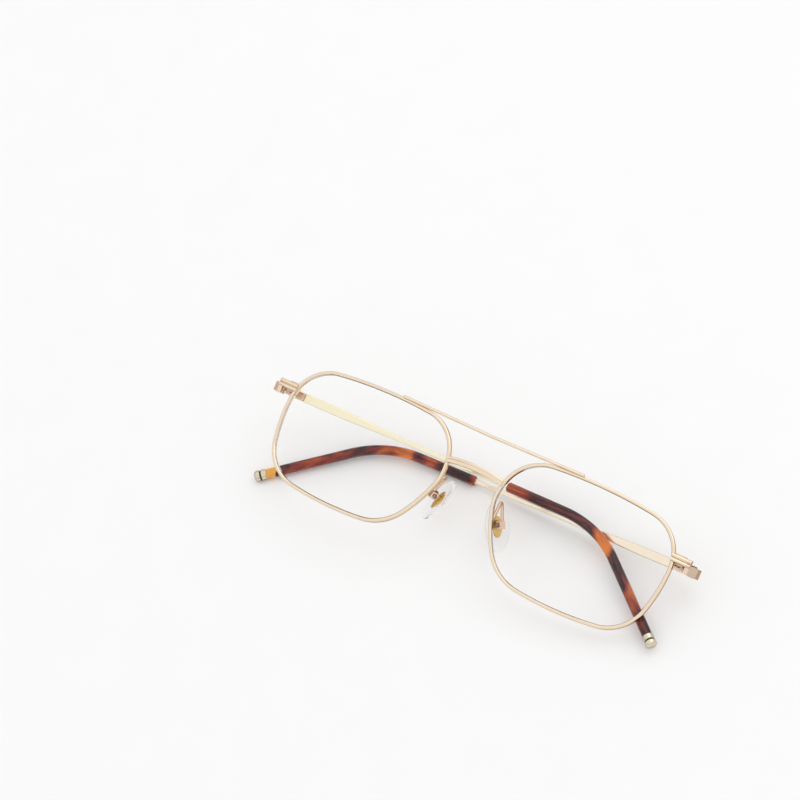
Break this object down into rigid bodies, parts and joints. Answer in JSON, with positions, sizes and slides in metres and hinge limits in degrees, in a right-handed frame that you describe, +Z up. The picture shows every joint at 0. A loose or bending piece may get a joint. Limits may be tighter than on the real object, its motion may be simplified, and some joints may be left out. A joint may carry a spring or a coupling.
{
  "type": "double bridge glasses",
  "caption": "Folded double bridge eyeglasses: thin metal eyewires, grooved bridge under a straight brow bar, rocking silicone nose pads, hinged temples with tortoise tips.",
  "frame": {"origin": "on the table, under the middle of the folded glasses' box", "axes": "+X towards the wearer's left along the front, +Y towards the top of the front as it lies, +Z up from the table"},
  "size_m": [0.1416, 0.0364, 0.0256],
  "materials": {
    "rose_gold_metal": "polished pale rose gold plating",
    "satin_rose_metal": "satin pale rose gold plating",
    "steel_screw": "turned steel",
    "nylon_washer": "plain nylon",
    "clear_lens": "clear, polished",
    "clear_silicone": "clear, soft gloss",
    "tortoise": "polished dark tortoise acetate",
    "black_ring": "black"
  },
  "bodies": {
    "front": {"bridge": "rose_gold_metal", "brow_bar": "rose_gold_metal", "endpiece_left": "rose_gold_metal", "endpiece_right": "rose_gold_metal", "hinge_front_leaf_left": "satin_rose_metal", "hinge_front_leaf_right": "satin_rose_metal", "hinge_screw_left": "steel_screw", "hinge_screw_right": "steel_screw", "hinge_washers_left": "nylon_washer", "hinge_washers_right": "nylon_washer", "lens_left": "clear_lens", "lens_right": "clear_lens", "pad_arm_left": "rose_gold_metal", "pad_arm_right": "rose_gold_metal", "pad_box_left": "rose_gold_metal", "pad_box_right": "rose_gold_metal", "pad_screw_left": "steel_screw", "pad_screw_right": "steel_screw", "rim_left": "rose_gold_metal", "rim_lock_lower_left": "satin_rose_metal", "rim_lock_lower_right": "satin_rose_metal", "rim_lock_screw_left": "steel_screw", "rim_lock_screw_right": "steel_screw", "rim_lock_upper_left": "satin_rose_metal", "rim_lock_upper_right": "satin_rose_metal", "rim_right": "rose_gold_metal"},
    "temple_left": {"hinge_temple_leaf_left": "satin_rose_metal", "temple_bar_left": "rose_gold_metal", "temple_tip_left": "tortoise", "tip_band_left": "rose_gold_metal", "tip_cap_left": "rose_gold_metal", "tip_ring_left": "black_ring"},
    "temple_right": {"hinge_temple_leaf_right": "satin_rose_metal", "temple_bar_right": "rose_gold_metal", "temple_tip_right": "tortoise", "tip_band_right": "rose_gold_metal", "tip_cap_right": "rose_gold_metal", "tip_ring_right": "black_ring"},
    "pad_left": {"nose_pad_left": "clear_silicone", "pad_insert_left": "rose_gold_metal"},
    "pad_right": {"nose_pad_right": "clear_silicone", "pad_insert_right": "rose_gold_metal"}
  },
  "joints": [
    {"name": "hinge_left", "type": "hinge", "parent": "front", "child": "temple_left", "pos_m": [0.06874, 0.00859, 0.00873], "axis": [-0.03, -0.8927, -0.4497], "range_deg": [0, 83.78]},
    {"name": "hinge_right", "type": "hinge", "parent": "front", "child": "temple_right", "pos_m": [-0.06876, 0.00859, 0.01791], "axis": [0.03, 0.8927, 0.4497], "range_deg": [0, 87.56]},
    {"name": "pad_rock_left", "type": "hinge", "parent": "front", "child": "pad_left", "pos_m": [0.01079, -0.00007, 0.00696], "axis": [-0.5631, -0.6734, 0.479], "range_deg": [-12, 12]},
    {"name": "pad_rock_right", "type": "hinge", "parent": "front", "child": "pad_right", "pos_m": [-0.01156, -0.00007, 0.00845], "axis": [0.6218, -0.6734, 0.3999], "range_deg": [-12, 12]}
  ]
}
